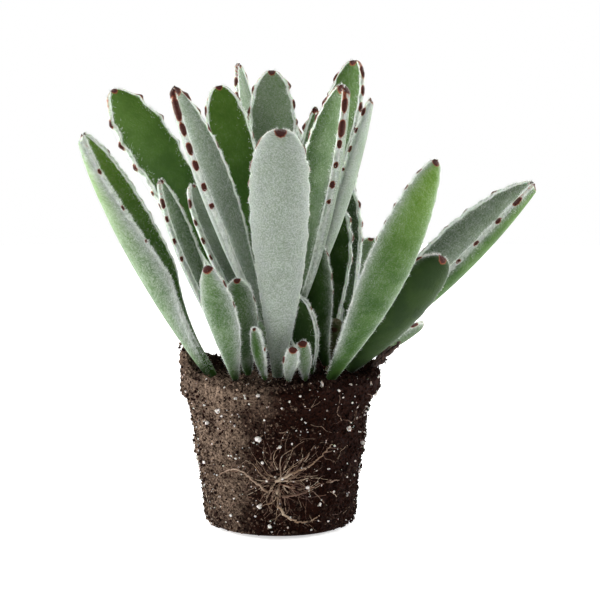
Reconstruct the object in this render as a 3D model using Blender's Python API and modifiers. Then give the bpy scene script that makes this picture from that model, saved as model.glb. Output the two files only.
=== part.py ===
"""Panda plant (Kalanchoe tomentosa) lifted out of its nursery pot: a tapered ball of compost held
together by its own roots, four short stems and the felted succulent leaves they carry.

Millimetres in the tables below, metres in the scene, +Z up, +Y to the back. The origin is the centre
of the root ball's flat underside.
"""

import math
from collections import namedtuple

import bmesh
import bpy
from mathutils import Vector, noise

MM = 0.001
PLANT = "panda_plant"

# ---- driving dimensions, in millimetres -------------------------------------------------------
GAP = 0.3                     # clearance that touching pieces keep
BALL_BOTTOM_RADIUS = 21.5     # the root ball tapers as its nursery pot did
BALL_STEP_RADIUS = 26.3       # just under the step that the pot's rim left
BALL_RIM_RADIUS = 29.5
STEP_HEIGHT = 38.0
RIM_HEIGHT = 46.5
CRATER_HEIGHT = 44.0          # the compost inside the rim
CRATER_RADIUS = 25.0
FOOT_ROUND = 2.5              # radius of the worn edge round the underside
BALL_STEPS = 44               # sides of the turned root ball
LUMP_SIZE = 9.0               # width of the lumps on its side
LUMP_DEPTH = 0.7
SPIKE_BEARING = 176           # where the broken rim stands highest
SPIKE_HEIGHT = 7.0
SHOULDER_BEARING = 20         # where the rim is worn down
SHOULDER_DROP = 0.6
RIPPLE_HEIGHT = 0.6           # of the waves round the rim
SHARP_ANGLE = math.radians(50)

LEAF_STATIONS = 9             # sections along a leaf
LEAF_SIDES = 8                # corners of a section
STALK_WIDTH = 0.19            # of the leaf's widest
LEAF_THICKNESS = 0.28         # of the leaf's widest
LEAST_WIDTH = 0.14            # of the leaf's widest, at the very end
END_ROUND = 2.3               # exponent of the blunt end's outline

STEM_SIDES = 12
STEM_TAPER = 0.8              # top radius over foot radius
ROOT_RADIUS = 0.45
CROSS = math.pi / 2

Leaf = namedtuple("Leaf", "name base tip width face bow fold belly")
Stem = namedtuple("Stem", "name foot top radius")
Root = namedtuple("Root", "name path")
Grain = namedtuple("Grain", "name angle height size")

# The stems' feet stand on the compost; names say where each shoot is, seen from the front (-Y).
STEMS = [
    Stem("left_stem", (-11.0, 3.0), (-11.5, 3.5, 58.5), 2.1),
    Stem("middle_stem", (0.5, 3.0), (0.5, 3.0, 69.0), 2.4),
    Stem("right_stem", (15.5, 4.0), (16.5, 5.0, 59.5), 2.2),
    Stem("back_stem", (4.0, 19.0), (4.0, 19.5, 61.0), 2.2),
]

# base and tip are the ends of the leaf's midline. face is the bearing that the upper face is turned
# to, in degrees (0 is +X, 90 the back). bow is how far the midline bulges to the underside, fold how
# steeply the halves rise to the margins, and belly where along the leaf it is widest.
LEAVES = [
    Leaf("left_leaf_1", (-19.0, -9.0, 45.0), (-55.5, -14.0, 115.0), 16.5, 350, 2.5, 78, 0.47),
    Leaf("left_leaf_2", (-13.5, 13.0, 63.5), (-50.5, 34.0, 124.5), 16.5, 308, 1.0, 26, 0.74),
    Leaf("left_leaf_3", (-15.0, 1.0, 51.0), (-35.0, 7.0, 100.0), 9.5, 328, 1.5, 40, 0.66),
    Leaf("left_leaf_4", (-8.0, 6.0, 54.5), (-26.0, 18.5, 97.5), 10.5, 322, 1.0, 30, 0.70),
    Leaf("left_leaf_5", (-12.5, -15.0, 45.0), (-20.0, -26.0, 79.0), 9.5, 70, 1.0, 22, 0.62),
    Leaf("left_leaf_6", (-9.0, -7.5, 45.0), (-12.0, -12.0, 73.5), 9.0, 80, 0.5, 20, 0.62),
    Leaf("left_leaf_7", (-15.0, 6.0, 48.5), (-20.5, 30.0, 60.0), 10.0, 350, 0.5, 30, 0.70),
    Leaf("left_leaf_8", (-11.5, 9.5, 46.5), (-12.0, 26.5, 54.0), 8.0, 285, 1.0, 24, 0.66),
    Leaf("middle_leaf_1", (-0.5, -10.0, 45.0), (0.5, -24.0, 117.0), 16.5, 90, 1.0, 22, 0.76),
    Leaf("middle_leaf_2", (-3.5, 0.5, 58.5), (-30.0, -10.0, 128.0), 13.0, 330, 1.0, 50, 0.62),
    Leaf("middle_leaf_3", (3.0, -1.5, 58.5), (18.5, -9.5, 128.5), 15.0, 220, 3.0, 50, 0.62),
    Leaf("middle_leaf_4", (-3.5, 5.0, 60.5), (-18.0, 20.0, 126.5), 13.5, 282, 1.5, 18, 0.70),
    Leaf("middle_leaf_5", (0.8, 8.0, 61.5), (-2.5, 30.0, 130.5), 14.0, 272, 1.5, 24, 0.72),
    Leaf("middle_leaf_6", (4.8, 10.3, 68.0), (22.5, 40.0, 133.0), 12.5, 235, 2.0, 34, 0.74),
    Leaf("middle_leaf_7", (5.2, 4.5, 61.5), (26.5, 10.5, 123.5), 10.5, 170, 2.0, 36, 0.62),
    Leaf("middle_leaf_8", (3.5, 4.0, 70.0), (10.5, 17.0, 120.5), 6.5, 250, 1.0, 30, 0.70),
    Leaf("right_leaf_1", (14.5, -15.0, 45.0), (43.5, -30.0, 109.0), 14.0, 118, 1.0, 24, 0.56),
    Leaf("right_leaf_2", (20.0, 3.0, 48.0), (74.0, 5.5, 99.0), 16.0, 203, 1.5, 74, 0.60),
    Leaf("right_leaf_3", (20.0, -5.0, 46.0), (46.5, -13.0, 80.0), 15.0, 128, 1.0, 20, 0.66),
    Leaf("right_leaf_4", (21.5, 6.0, 47.5), (42.5, 14.0, 56.5), 9.0, 190, 1.0, 26, 0.66),
    Leaf("right_leaf_5", (20.5, 10.0, 60.0), (16.0, 30.0, 99.0), 13.0, 262, 2.0, 26, 0.72),
    Leaf("right_leaf_6", (14.2, 7.8, 51.5), (15.6, 14.2, 92.5), 12.0, 262, 1.0, 18, 0.66),
    Leaf("right_leaf_7", (13.5, -1.0, 46.5), (9.5, 2.0, 85.0), 10.0, 75, 1.0, 22, 0.62),
    Leaf("right_leaf_8", (9.0, -7.0, 45.0), (5.0, -9.0, 68.0), 9.0, 255, 0.5, 18, 0.60),
    Leaf("right_leaf_9", (7.5, 1.5, 45.0), (6.5, -1.5, 57.5), 6.0, 250, 0.5, 20, 0.62),
    Leaf("right_leaf_10", (18.5, 9.0, 48.0), (27.5, 32.0, 80.0), 11.0, 250, 1.5, 26, 0.70),
    Leaf("right_leaf_11", (20.0, 7.0, 52.5), (54.0, 28.0, 74.0), 12.0, 215, 2.0, 34, 0.68),
    Leaf("back_leaf_1", (4.0, 24.0, 56.0), (1.0, 50.0, 114.5), 13.5, 268, 2.0, 28, 0.72),
    Leaf("back_leaf_2", (0.0, 21.5, 53.0), (-17.0, 48.0, 107.5), 14.0, 300, 2.0, 30, 0.70),
    Leaf("back_leaf_3", (7.5, 22.5, 52.0), (19.5, 48.0, 108.5), 14.0, 240, 2.0, 30, 0.70),
    Leaf("back_leaf_4", (-0.5, 18.0, 48.5), (-39.0, 44.0, 98.0), 13.0, 320, 2.0, 32, 0.70),
    Leaf("back_leaf_5", (9.0, 18.5, 50.0), (37.5, 44.0, 77.5), 13.0, 214, 2.0, 32, 0.70),
    Leaf("back_leaf_6", (4.0, 24.0, 48.0), (-0.5, 54.0, 81.5), 13.0, 270, 2.5, 26, 0.70),
    Leaf("back_leaf_7", (-0.5, 22.5, 47.0), (-20.0, 44.0, 63.0), 11.0, 305, 2.0, 24, 0.68),
    Leaf("back_leaf_8", (8.5, 22.5, 47.0), (19.5, 46.0, 64.0), 11.0, 233, 2.0, 24, 0.68),
    Leaf("back_leaf_9", (0.5, 17.0, 62.0), (-13.0, 46.0, 132.0), 9.5, 322, 1.5, 34, 0.70),
    Leaf("pup_leaf_1", (2.5, -19.5, 45.0), (4.0, -23.5, 55.5), 4.2, 80, 0.3, 18, 0.60),
    Leaf("pup_leaf_2", (7.5, -18.0, 45.0), (6.5, -21.0, 57.0), 4.6, 100, 0.3, 18, 0.60),
    Leaf("pup_leaf_3", (-4.0, -17.0, 45.0), (-7.0, -20.0, 60.5), 4.4, 60, 0.5, 18, 0.60),
]

# Each root runs along the side of the ball, through (bearing in degrees, height) points.
ROOTS = [
    Root("surface_root_1", [(268, 17.0), (280, 19.5), (294, 22.0), (306, 27.0)]),
    Root("surface_root_2", [(272, 12.5), (284, 13.0), (298, 15.5), (316, 16.0)]),
    Root("surface_root_3", [(262, 13.5), (252, 17.0), (240, 20.0), (226, 18.0)]),
    Root("surface_root_4", [(270, 9.5), (277, 6.0), (289, 4.5), (300, 6.0)]),
    Root("surface_root_5", [(120, 30.0), (102, 22.0), (86, 19.0), (66, 21.0)]),
    Root("surface_root_6", [(150, 12.0), (132, 9.0), (112, 12.0), (96, 9.0)]),
    Root("surface_root_7", [(20, 26.0), (36, 18.0), (52, 14.0), (70, 12.0)]),
]

# The largest grains of perlite that stand out of the compost, by bearing, height and diameter.
GRAINS = [
    Grain("perlite_grain_1", 257, 29.5, 2.4),
    Grain("perlite_grain_2", 263, 3.6, 2.0),
    Grain("perlite_grain_3", 320, 31.0, 2.0),
    Grain("perlite_grain_4", 190, 20.0, 2.2),
    Grain("perlite_grain_5", 78, 27.0, 2.4),
]

GRAIN_SQUASH = (0.8, 0.8, 0.9)  # of a ball of the grain's diameter
GRAIN_STAND_OFF = 0.36        # from the ball to a grain's centre, over its diameter

BARK_FOOT = (27.5, -6.0, 48.0)
BARK_TIP = (35.0, -5.0, 53.5)
BARK_WIDTH = 2.4
BARK_THICKNESS = 1.2
BARK_NARROWING = 0.55         # width at its tip over width at its foot
BARK_EDGE = 0.25              # radius of its edges


# ---- helpers ------------------------------------------------------------------------------------
def clear_scene():
    for old in list(bpy.data.objects):
        bpy.data.objects.remove(old, do_unlink=True)


def new_collection(name):
    made = bpy.data.collections.new(name)
    bpy.context.scene.collection.children.link(made)
    return made


def new_material(name, colour, roughness):
    made = bpy.data.materials.new(name)
    made.use_nodes = True
    shader = made.node_tree.nodes["Principled BSDF"]
    shader.inputs["Base Color"].default_value = (*colour, 1.0)
    shader.inputs["Roughness"].default_value = roughness
    shader.inputs["Metallic"].default_value = 0.0
    return made


def add_object(name, data, material, collection):
    made = bpy.data.objects.new(name, data)
    data.materials.append(material)
    collection.objects.link(made)
    return made


def bearing(degrees):
    """The level direction at a bearing."""
    angle = math.radians(degrees)
    return Vector((math.cos(angle), math.sin(angle), 0.0))


def blend(start, end, share):
    return start + (end - start) * share


# ---- the root ball ------------------------------------------------------------------------------
def ball_profile():
    """Radius and height down the outside of the ball, from the crater's centre to the underside's."""
    rim_middle = (BALL_RIM_RADIUS + CRATER_RADIUS) / 2
    worn = FOOT_ROUND * (1 - math.cos(CROSS / 2))
    points = [
        (0.0, CRATER_HEIGHT),
        (CRATER_RADIUS * 0.5, CRATER_HEIGHT),
        (CRATER_RADIUS, CRATER_HEIGHT),
        (rim_middle, RIM_HEIGHT),
        (BALL_RIM_RADIUS, RIM_HEIGHT - 2.0),
        (BALL_RIM_RADIUS, STEP_HEIGHT + 1.0),
        (BALL_STEP_RADIUS, STEP_HEIGHT),
    ]
    side_rows = 5
    for row in range(1, side_rows):
        share = row / side_rows
        points.append((
            blend(BALL_STEP_RADIUS, BALL_BOTTOM_RADIUS, share),
            blend(STEP_HEIGHT, FOOT_ROUND, share),
        ))
    points += [
        (BALL_BOTTOM_RADIUS, FOOT_ROUND),
        (BALL_BOTTOM_RADIUS - worn, worn),
        (BALL_BOTTOM_RADIUS - FOOT_ROUND, 0.0),
        (0.0, 0.0),
    ]
    return points


def rim_lift(angle):
    """How much higher than RIM_HEIGHT the broken rim stands at this angle: a spike at the left."""
    spike = max(0.0, math.cos(angle - math.radians(SPIKE_BEARING))) ** 14
    shoulder = max(0.0, math.cos(angle - math.radians(SHOULDER_BEARING))) ** 4
    ripple = math.sin(5 * angle + 0.6)
    return SPIKE_HEIGHT * spike - SHOULDER_DROP * shoulder + RIPPLE_HEIGHT * ripple


def side_radius(height):
    """The ball's radius at this height, before its lumps."""
    if height > STEP_HEIGHT:
        return BALL_RIM_RADIUS
    share = max(0.0, height - FOOT_ROUND) / (STEP_HEIGHT - FOOT_ROUND)
    return blend(BALL_BOTTOM_RADIUS, BALL_STEP_RADIUS, share)


def lump(point):
    """The outward shift of the crumbly surface at a point."""
    return LUMP_DEPTH * noise.noise(point / LUMP_SIZE)


def make_root_ball(material, collection):
    mesh = bpy.data.meshes.new("root_ball")
    points = ball_profile()
    mesh.from_pydata(
        [(radius * MM, 0.0, height * MM) for radius, height in points],
        [(i, i + 1) for i in range(len(points) - 1)],
        [],
    )
    outline = bpy.data.objects.new("root_ball_outline", mesh)
    collection.objects.link(outline)
    turn = outline.modifiers.new("turn", "SCREW")
    turn.steps = BALL_STEPS
    turn.render_steps = BALL_STEPS
    turn.use_merge_vertices = True
    turn.merge_threshold = 0.00001
    bpy.context.view_layer.update()
    evaluated = outline.evaluated_get(bpy.context.evaluated_depsgraph_get())
    turned = bpy.data.meshes.new_from_object(evaluated)
    bpy.data.objects.remove(outline)
    turned.name = "root_ball"
    for vertex in turned.vertices:
        place = vertex.co / MM
        out = Vector((place.x, place.y, 0.0))
        if out.length > CRATER_RADIUS + 0.5 and place.z > STEP_HEIGHT + 2:
            place.z += rim_lift(math.atan2(out.y, out.x))
        if out.length > BALL_BOTTOM_RADIUS - 1 and place.z > FOOT_ROUND - 1:
            place += out.normalized() * lump(place)
        vertex.co = place * MM
    turned.shade_smooth()
    turned.set_sharp_from_angle(angle=SHARP_ANGLE)
    return add_object("root_ball", turned, material, collection)


# ---- stems --------------------------------------------------------------------------------------
def make_stem(stem, material, collection):
    foot = Vector((*stem.foot, CRATER_HEIGHT + GAP))
    top = Vector(stem.top)
    axis = top - foot
    mesh = bpy.data.meshes.new(stem.name)
    shape = bmesh.new()
    bmesh.ops.create_cone(
        shape,
        cap_ends=True,
        segments=STEM_SIDES,
        radius1=stem.radius * MM,
        radius2=stem.radius * STEM_TAPER * MM,
        depth=axis.length * MM,
    )
    shape.to_mesh(mesh)
    shape.free()
    mesh.shade_smooth()
    mesh.set_sharp_from_angle(angle=SHARP_ANGLE)
    made = add_object(stem.name, mesh, material, collection)
    made.rotation_mode = "QUATERNION"
    made.rotation_quaternion = axis.to_track_quat("Z", "Y")
    made.location = (foot + top) / 2 * MM
    return made


# ---- leaves -------------------------------------------------------------------------------------
def leaf_width(share, belly):
    """The leaf's width along its length, as a share of its widest: a stalk, a blade, a blunt end."""
    if share < belly:
        rise = math.sin(CROSS * share / belly) ** 1.15
        return STALK_WIDTH + (1 - STALK_WIDTH) * rise
    past = (share - belly) / (1 - belly)
    return max(0.0, 1 - past**END_ROUND) ** (1 / END_ROUND)


def leaf_thickness(share):
    """The thickness along the leaf, as a share of its thickest."""
    swell = math.sin(math.pi * min(1.0, share * 0.8 + 0.12))
    return 0.45 + 0.55 * swell


def leaf_midline(leaf, share):
    """A point of the midline, with the directions along it, across it and out of the upper face."""
    base = Vector(leaf.base)
    tip = Vector(leaf.tip)
    chord = tip - base
    facing = bearing(leaf.face)
    up = (facing - chord * facing.dot(chord) / chord.length_squared).normalized()
    place = base + chord * share - up * leaf.bow * 4 * share * (1 - share)
    along = (chord - up * leaf.bow * 4 * (1 - 2 * share)).normalized()
    across = along.cross(up).normalized()
    return place, across, across.cross(along)


def leaf_section(leaf, share):
    """One closed section: an arc that rises to both margins, with rounded thickness round it."""
    place, across, up = leaf_midline(leaf, share)
    half = leaf.width * max(LEAST_WIDTH, leaf_width(share, leaf.belly)) / 2
    thick = leaf.width * LEAF_THICKNESS * leaf_thickness(share) / 2
    thick = min(thick, half * 0.8)
    fold = math.radians(leaf.fold) * min(1.0, share * 2.5)
    ring = []
    for corner in range(LEAF_SIDES):
        turn = 2 * math.pi * corner / LEAF_SIDES
        side = math.cos(turn)
        depth = thick * math.copysign(abs(math.sin(turn)) ** 0.8, math.sin(turn))
        lean = fold * side
        if fold > 0.01:
            reach = half * math.sin(lean) / math.sin(fold)
            rise = half * (1 - math.cos(lean)) / math.sin(fold)
        else:
            reach = half * side
            rise = 0.0
        ring.append(
            place
            + across * (reach - depth * math.sin(lean))
            + up * (rise + depth * math.cos(lean))
        )
    return ring


def make_leaf(leaf, material, collection):
    """A loft, because no two of a leaf's sections are alike."""
    shape = bmesh.new()
    rings = []
    for station in range(LEAF_STATIONS):
        share = math.sin(CROSS * station / (LEAF_STATIONS - 1)) ** 1.1
        ring = [shape.verts.new(point * MM) for point in leaf_section(leaf, share)]
        rings.append(ring)
    for lower, upper in zip(rings, rings[1:]):
        for corner in range(LEAF_SIDES):
            after = (corner + 1) % LEAF_SIDES
            shape.faces.new((lower[corner], lower[after], upper[after], upper[corner]))
    shape.faces.new(list(reversed(rings[0])))
    shape.faces.new(rings[-1])
    bmesh.ops.triangulate(shape, faces=shape.faces[:])
    bmesh.ops.recalc_face_normals(shape, faces=shape.faces[:])
    mesh = bpy.data.meshes.new(leaf.name)
    shape.to_mesh(mesh)
    shape.free()
    mesh.shade_smooth()
    return add_object(leaf.name, mesh, material, collection)


# ---- what lies on the compost -------------------------------------------------------------------
def on_side(degrees, height, stand_off):
    """A point a little off the ball's side."""
    radius = side_radius(height) + LUMP_DEPTH + stand_off
    place = bearing(degrees) * radius
    place.z = height
    return place


def curve_through(points, share):
    """A smooth curve through a list of (bearing, height) points, at a share of its length."""
    last = len(points) - 1
    at = min(share * last, last - 1e-6)
    left = int(at)
    part = at - left
    p0 = Vector(points[max(0, left - 1)])
    p1 = Vector(points[left])
    p2 = Vector(points[left + 1])
    p3 = Vector(points[min(last, left + 2)])
    return 0.5 * (
        2 * p1
        + (p2 - p0) * part
        + (2 * p0 - 5 * p1 + 4 * p2 - p3) * part**2
        + (3 * p1 - p0 - 3 * p2 + p3) * part**3
    )


def make_root(root, material, collection):
    points_along = 13
    curve = bpy.data.curves.new(root.name, "CURVE")
    curve.dimensions = "3D"
    curve.bevel_depth = ROOT_RADIUS * MM
    curve.bevel_resolution = 1
    curve.use_fill_caps = True
    spline = curve.splines.new("POLY")
    spline.points.add(points_along - 1)
    for step, point in enumerate(spline.points):
        degrees, height = curve_through(root.path, step / (points_along - 1))
        place = on_side(degrees, height, GAP + ROOT_RADIUS) * MM
        point.co = (*place, 1.0)
    return add_object(root.name, curve, material, collection)


def make_grain(grain, material, collection):
    mesh = bpy.data.meshes.new(grain.name)
    shape = bmesh.new()
    bmesh.ops.create_icosphere(shape, subdivisions=1, radius=grain.size / 2 * MM)
    shape.to_mesh(mesh)
    shape.free()
    made = add_object(grain.name, mesh, material, collection)
    made.location = on_side(grain.angle, grain.height, GAP + grain.size * GRAIN_STAND_OFF) * MM
    made.scale = GRAIN_SQUASH
    return made


def make_bark(material, collection):
    foot = Vector(BARK_FOOT)
    tip = Vector(BARK_TIP)
    axis = tip - foot
    mesh = bpy.data.meshes.new("bark_chip")
    shape = bmesh.new()
    bmesh.ops.create_cube(shape, size=1.0)
    for vertex in shape.verts:
        narrow = BARK_NARROWING if vertex.co.z > 0 else 1.0
        vertex.co.x *= BARK_WIDTH * narrow * MM
        vertex.co.y *= BARK_THICKNESS * narrow * MM
        vertex.co.z *= axis.length * MM
    shape.to_mesh(mesh)
    shape.free()
    made = add_object("bark_chip", mesh, material, collection)
    round_edges = made.modifiers.new("round_edges", "BEVEL")
    round_edges.width = BARK_EDGE * MM
    round_edges.segments = 2
    made.rotation_mode = "QUATERNION"
    made.rotation_quaternion = axis.to_track_quat("Z", "Y")
    made.location = (foot + tip) / 2 * MM
    return made


# ---- the whole plant ----------------------------------------------------------------------------
def main():
    clear_scene()
    plant = new_collection(PLANT)
    compost = new_material("compost", (0.045, 0.03, 0.02), 0.95)
    stem_skin = new_material("stem_skin", (0.33, 0.36, 0.24), 0.8)
    leaf_felt = new_material("leaf_felt", (0.30, 0.42, 0.25), 0.85)
    root_skin = new_material("root_skin", (0.35, 0.22, 0.12), 0.8)
    perlite = new_material("perlite", (0.75, 0.72, 0.66), 0.9)
    bark = new_material("bark", (0.08, 0.045, 0.03), 0.9)

    make_root_ball(compost, plant)
    for stem in STEMS:
        make_stem(stem, stem_skin, plant)
    for leaf in LEAVES:
        make_leaf(leaf, leaf_felt, plant)
    for root in ROOTS:
        make_root(root, root_skin, plant)
    for grain in GRAINS:
        make_grain(grain, perlite, plant)
    make_bark(bark, plant)


main()
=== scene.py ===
"""The looks of the panda plant: felted, toothed leaves, crumbly compost with perlite and fine roots.

Lengths are in millimetres until a mesh is made, and every mesh is in metres in the frame's axes.
"""

import math
from collections import namedtuple

import bmesh
import bpy
import numpy as np
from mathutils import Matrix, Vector, noise


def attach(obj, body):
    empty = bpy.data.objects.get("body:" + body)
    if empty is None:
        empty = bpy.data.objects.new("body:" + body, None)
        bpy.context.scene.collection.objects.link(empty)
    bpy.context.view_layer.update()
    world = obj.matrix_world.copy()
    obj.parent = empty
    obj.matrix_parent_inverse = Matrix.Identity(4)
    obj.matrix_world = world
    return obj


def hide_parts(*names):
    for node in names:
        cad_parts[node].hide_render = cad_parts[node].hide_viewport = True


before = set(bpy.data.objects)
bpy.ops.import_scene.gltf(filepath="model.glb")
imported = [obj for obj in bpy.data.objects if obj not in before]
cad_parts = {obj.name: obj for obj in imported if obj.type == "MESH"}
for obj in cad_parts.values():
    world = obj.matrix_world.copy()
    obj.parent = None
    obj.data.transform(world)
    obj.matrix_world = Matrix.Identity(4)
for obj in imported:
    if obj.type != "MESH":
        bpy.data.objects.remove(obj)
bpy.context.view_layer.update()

MM = 0.001
TURN = 2 * math.pi
CROSS = math.pi / 2
BODY = "root"

# ---- the leaves' driving numbers, the same as the CAD part's ------------------------------------
STALK_WIDTH = 0.19
LEAF_THICKNESS = 0.28
END_ROUND = 2.3

# A leaf's ends, width, bearing of its upper face, bow, fold and belly, as the CAD part has them.
Leaf = namedtuple("Leaf", "name base tip width face bow fold belly")
LEAVES = [
    Leaf("left_leaf_1", (-19.0, -9.0, 45.0), (-55.5, -14.0, 115.0), 16.5, 350, 2.5, 78, 0.47),
    Leaf("left_leaf_2", (-13.5, 13.0, 63.5), (-50.5, 34.0, 124.5), 16.5, 308, 1.0, 26, 0.74),
    Leaf("left_leaf_3", (-15.0, 1.0, 51.0), (-35.0, 7.0, 100.0), 9.5, 328, 1.5, 40, 0.66),
    Leaf("left_leaf_4", (-8.0, 6.0, 54.5), (-26.0, 18.5, 97.5), 10.5, 322, 1.0, 30, 0.70),
    Leaf("left_leaf_5", (-12.5, -15.0, 45.0), (-20.0, -26.0, 79.0), 9.5, 70, 1.0, 22, 0.62),
    Leaf("left_leaf_6", (-9.0, -7.5, 45.0), (-12.0, -12.0, 73.5), 9.0, 80, 0.5, 20, 0.62),
    Leaf("left_leaf_7", (-15.0, 6.0, 48.5), (-20.5, 30.0, 60.0), 10.0, 350, 0.5, 30, 0.70),
    Leaf("left_leaf_8", (-11.5, 9.5, 46.5), (-12.0, 26.5, 54.0), 8.0, 285, 1.0, 24, 0.66),
    Leaf("middle_leaf_1", (-0.5, -10.0, 45.0), (0.5, -24.0, 117.0), 16.5, 90, 1.0, 22, 0.76),
    Leaf("middle_leaf_2", (-3.5, 0.5, 58.5), (-30.0, -10.0, 128.0), 13.0, 330, 1.0, 50, 0.62),
    Leaf("middle_leaf_3", (3.0, -1.5, 58.5), (18.5, -9.5, 128.5), 15.0, 220, 3.0, 50, 0.62),
    Leaf("middle_leaf_4", (-3.5, 5.0, 60.5), (-18.0, 20.0, 126.5), 13.5, 282, 1.5, 18, 0.70),
    Leaf("middle_leaf_5", (0.8, 8.0, 61.5), (-2.5, 30.0, 130.5), 14.0, 272, 1.5, 24, 0.72),
    Leaf("middle_leaf_6", (4.8, 10.3, 68.0), (22.5, 40.0, 133.0), 12.5, 235, 2.0, 34, 0.74),
    Leaf("middle_leaf_7", (5.2, 4.5, 61.5), (26.5, 10.5, 123.5), 10.5, 170, 2.0, 36, 0.62),
    Leaf("middle_leaf_8", (3.5, 4.0, 70.0), (10.5, 17.0, 120.5), 6.5, 250, 1.0, 30, 0.70),
    Leaf("right_leaf_1", (14.5, -15.0, 45.0), (43.5, -30.0, 109.0), 14.0, 118, 1.0, 24, 0.56),
    Leaf("right_leaf_2", (20.0, 3.0, 48.0), (74.0, 5.5, 99.0), 16.0, 203, 1.5, 74, 0.60),
    Leaf("right_leaf_3", (20.0, -5.0, 46.0), (46.5, -13.0, 80.0), 15.0, 128, 1.0, 20, 0.66),
    Leaf("right_leaf_4", (21.5, 6.0, 47.5), (42.5, 14.0, 56.5), 9.0, 190, 1.0, 26, 0.66),
    Leaf("right_leaf_5", (20.5, 10.0, 60.0), (16.0, 30.0, 99.0), 13.0, 262, 2.0, 26, 0.72),
    Leaf("right_leaf_6", (14.2, 7.8, 51.5), (15.6, 14.2, 92.5), 12.0, 262, 1.0, 18, 0.66),
    Leaf("right_leaf_7", (13.5, -1.0, 46.5), (9.5, 2.0, 85.0), 10.0, 75, 1.0, 22, 0.62),
    Leaf("right_leaf_8", (9.0, -7.0, 45.0), (5.0, -9.0, 68.0), 9.0, 255, 0.5, 18, 0.60),
    Leaf("right_leaf_9", (7.5, 1.5, 45.0), (6.5, -1.5, 57.5), 6.0, 250, 0.5, 20, 0.62),
    Leaf("right_leaf_10", (18.5, 9.0, 48.0), (27.5, 32.0, 80.0), 11.0, 250, 1.5, 26, 0.70),
    Leaf("right_leaf_11", (20.0, 7.0, 52.5), (54.0, 28.0, 74.0), 12.0, 215, 2.0, 34, 0.68),
    Leaf("back_leaf_1", (4.0, 24.0, 56.0), (1.0, 50.0, 114.5), 13.5, 268, 2.0, 28, 0.72),
    Leaf("back_leaf_2", (0.0, 21.5, 53.0), (-17.0, 48.0, 107.5), 14.0, 300, 2.0, 30, 0.70),
    Leaf("back_leaf_3", (7.5, 22.5, 52.0), (19.5, 48.0, 108.5), 14.0, 240, 2.0, 30, 0.70),
    Leaf("back_leaf_4", (-0.5, 18.0, 48.5), (-39.0, 44.0, 98.0), 13.0, 320, 2.0, 32, 0.70),
    Leaf("back_leaf_5", (9.0, 18.5, 50.0), (37.5, 44.0, 77.5), 13.0, 214, 2.0, 32, 0.70),
    Leaf("back_leaf_6", (4.0, 24.0, 48.0), (-0.5, 54.0, 81.5), 13.0, 270, 2.5, 26, 0.70),
    Leaf("back_leaf_7", (-0.5, 22.5, 47.0), (-20.0, 44.0, 63.0), 11.0, 305, 2.0, 24, 0.68),
    Leaf("back_leaf_8", (8.5, 22.5, 47.0), (19.5, 46.0, 64.0), 11.0, 233, 2.0, 24, 0.68),
    Leaf("back_leaf_9", (0.5, 17.0, 62.0), (-13.0, 46.0, 132.0), 9.5, 322, 1.5, 34, 0.70),
    Leaf("pup_leaf_1", (2.5, -19.5, 45.0), (4.0, -23.5, 55.5), 4.2, 80, 0.3, 18, 0.60),
    Leaf("pup_leaf_2", (7.5, -18.0, 45.0), (6.5, -21.0, 57.0), 4.6, 100, 0.3, 18, 0.60),
    Leaf("pup_leaf_3", (-4.0, -17.0, 45.0), (-7.0, -20.0, 60.5), 4.4, 60, 0.5, 18, 0.60),
]

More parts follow.
